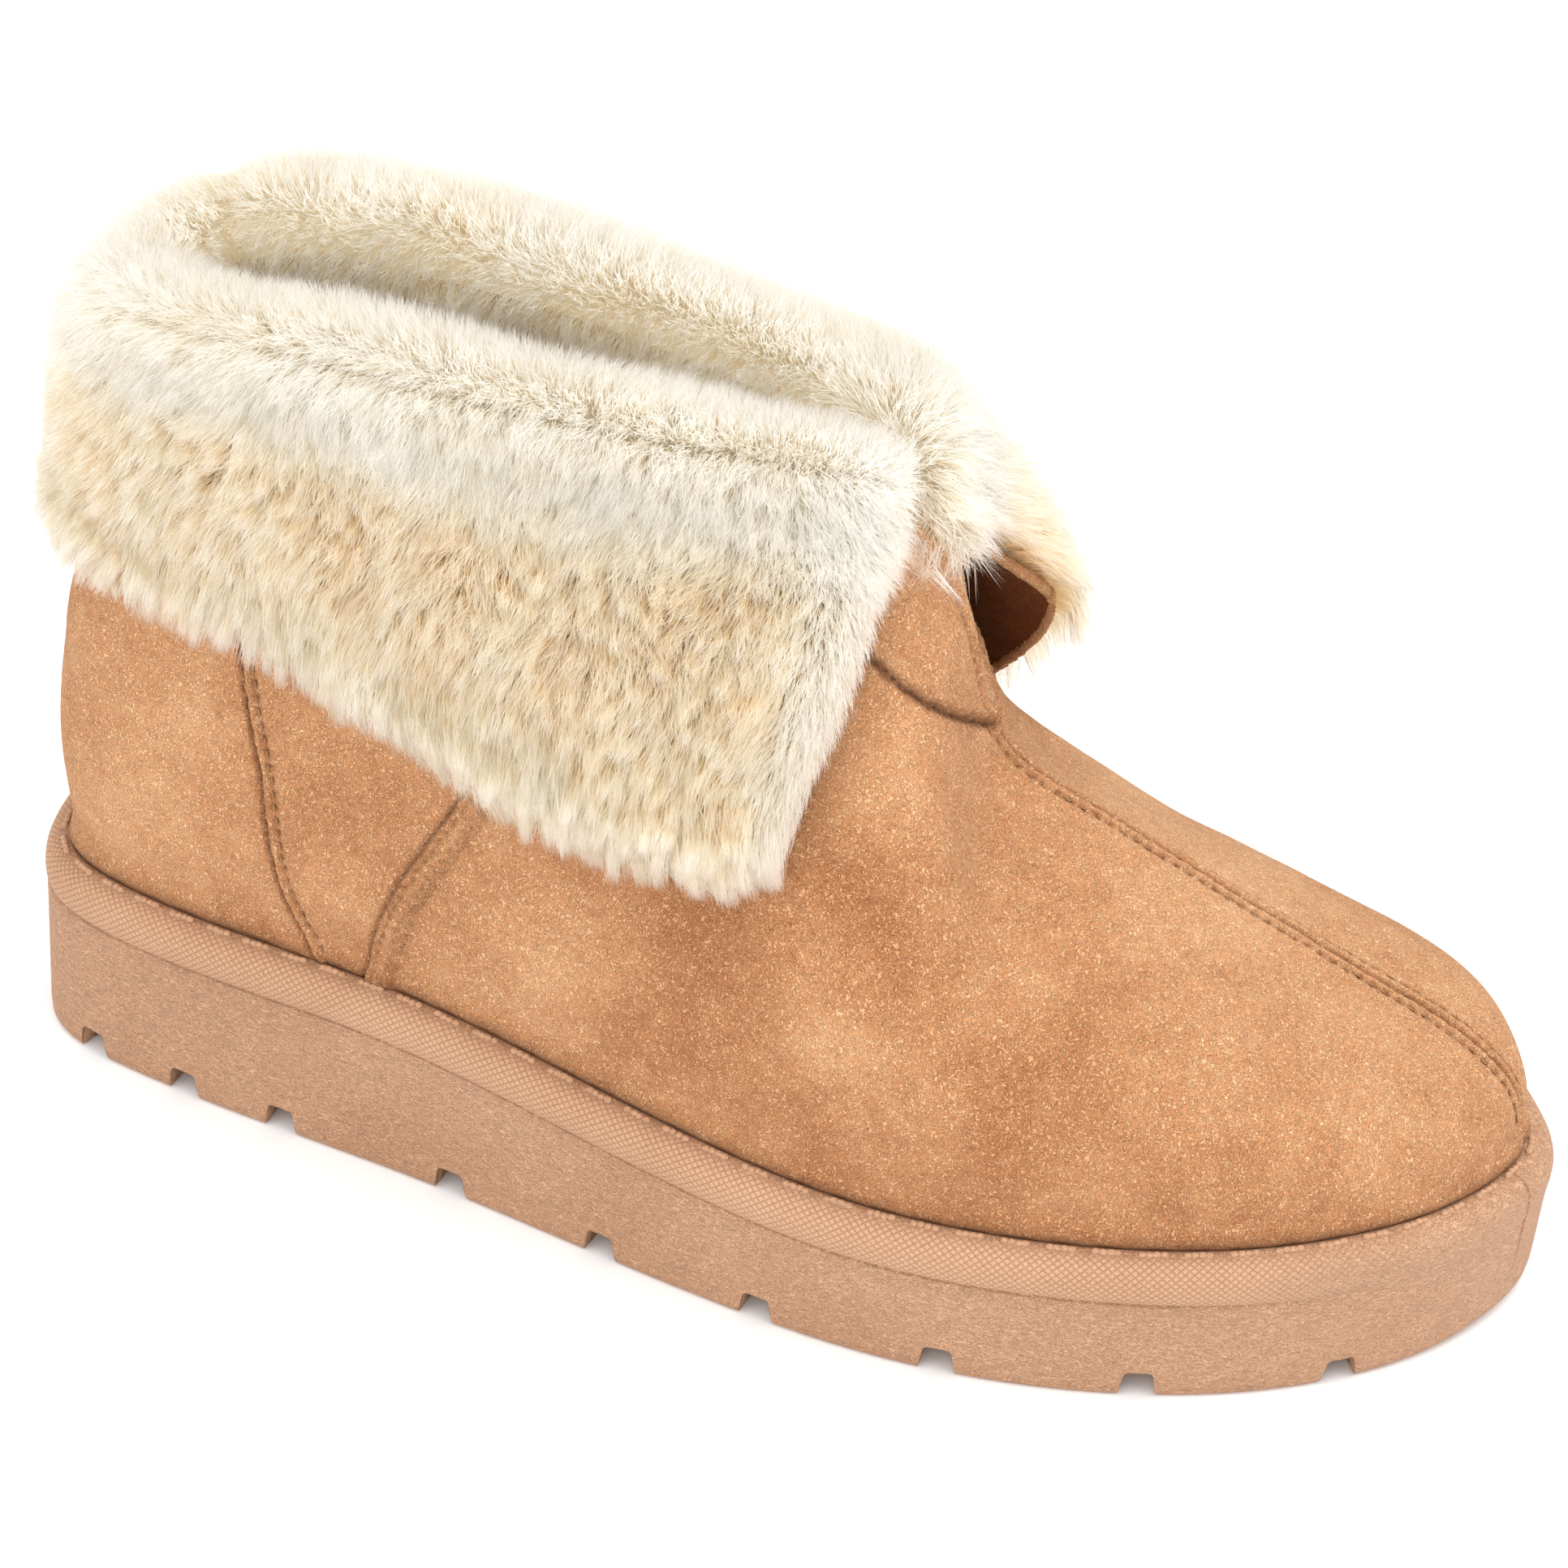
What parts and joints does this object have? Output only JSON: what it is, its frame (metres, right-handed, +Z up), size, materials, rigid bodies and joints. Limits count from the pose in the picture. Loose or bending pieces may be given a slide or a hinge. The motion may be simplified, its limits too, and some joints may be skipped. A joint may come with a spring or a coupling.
{
  "type": "ankle slipper",
  "caption": "Right-foot ankle slipper with a hollow last-shaped suede upper, turned-down deep pile cuff over a front slit, padded insole and a moulded platform sole with a rolled lip.",
  "frame": {"origin": "on the floor, under the middle of the sole's length, on the tread between two cross grooves", "axes": "+X towards the toe, +Y towards the inner (medial) side of the right foot, +Z up"},
  "size_m": [0.2729, 0.1073, 0.1618],
  "materials": {
    "sole": "matt moulded foam rubber with a fine grain",
    "footbed": "short cream pile",
    "suede": "tan napped suede, pile lined",
    "pile": "deep cream pile"
  },
  "bodies": {
    "root": {"outsole": "sole", "insole": "footbed", "upper": "suede", "cuff": "pile"}
  },
  "joints": []
}
